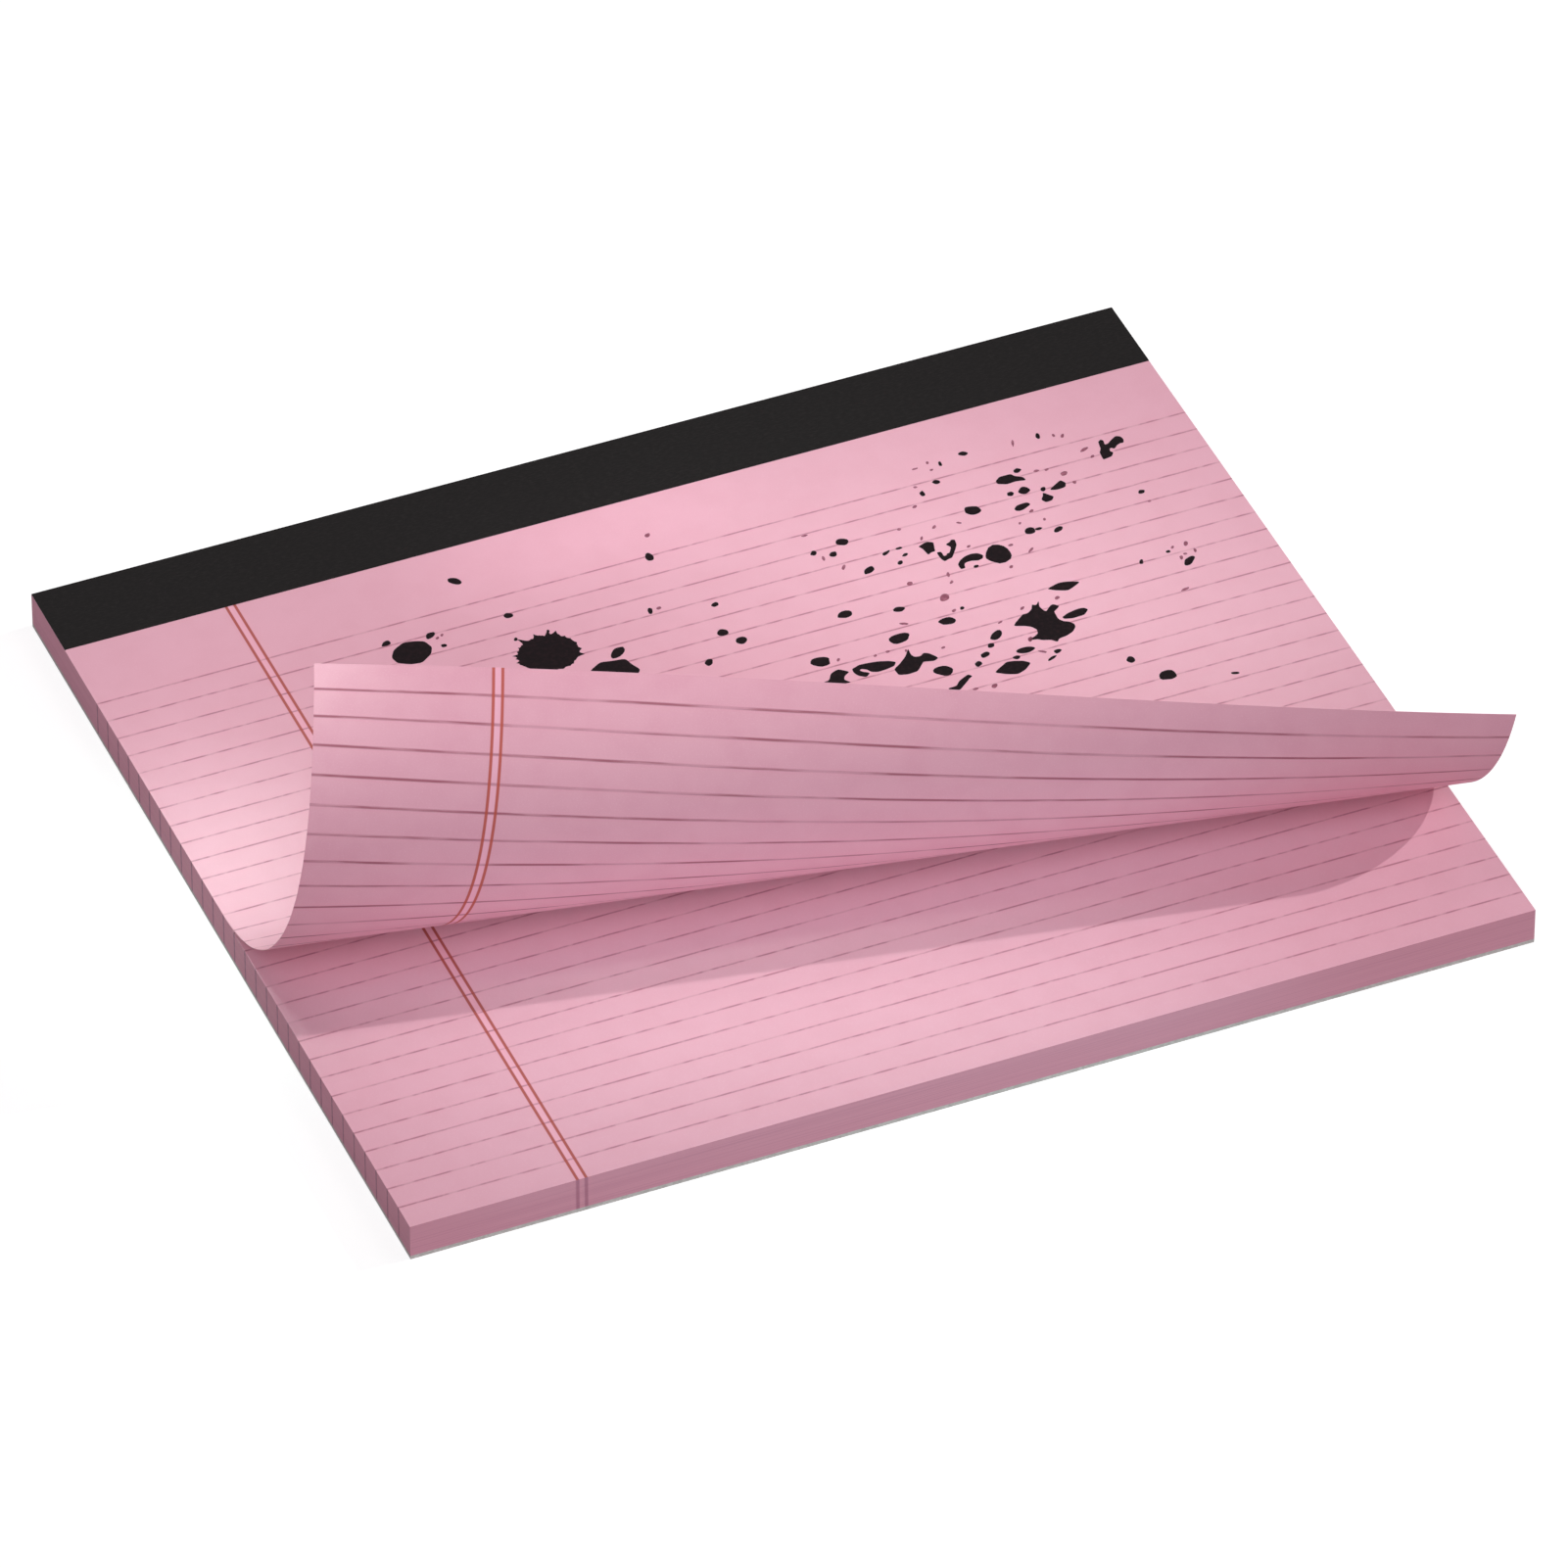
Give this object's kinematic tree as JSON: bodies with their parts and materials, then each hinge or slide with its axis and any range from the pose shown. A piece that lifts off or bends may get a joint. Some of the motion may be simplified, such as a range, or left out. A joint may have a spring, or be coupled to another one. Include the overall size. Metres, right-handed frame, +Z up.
{
  "type": "legal pad",
  "caption": "Landscape ruled writing pad, bound along its head with a folded tape, on a stiff backing board, with its ink-spotted top sheet lifted and rolled back.",
  "frame": {"origin": "middle of the pad's underside, on the surface that it lies on", "axes": "+Z up, +Y towards the bound head, +X to the right along the head"},
  "size_m": [0.2838, 0.2415, 0.0862],
  "materials": {
    "page_paper": "uncoated, ruled",
    "chipboard": "uncoated grey",
    "tape": "matte black",
    "wire": "galvanised"
  },
  "bodies": {
    "root": {"backing_board": "chipboard", "sheet_block": "page_paper", "lifted_sheet": "page_paper", "binding_tape": "tape", "staples": "wire"}
  },
  "joints": []
}
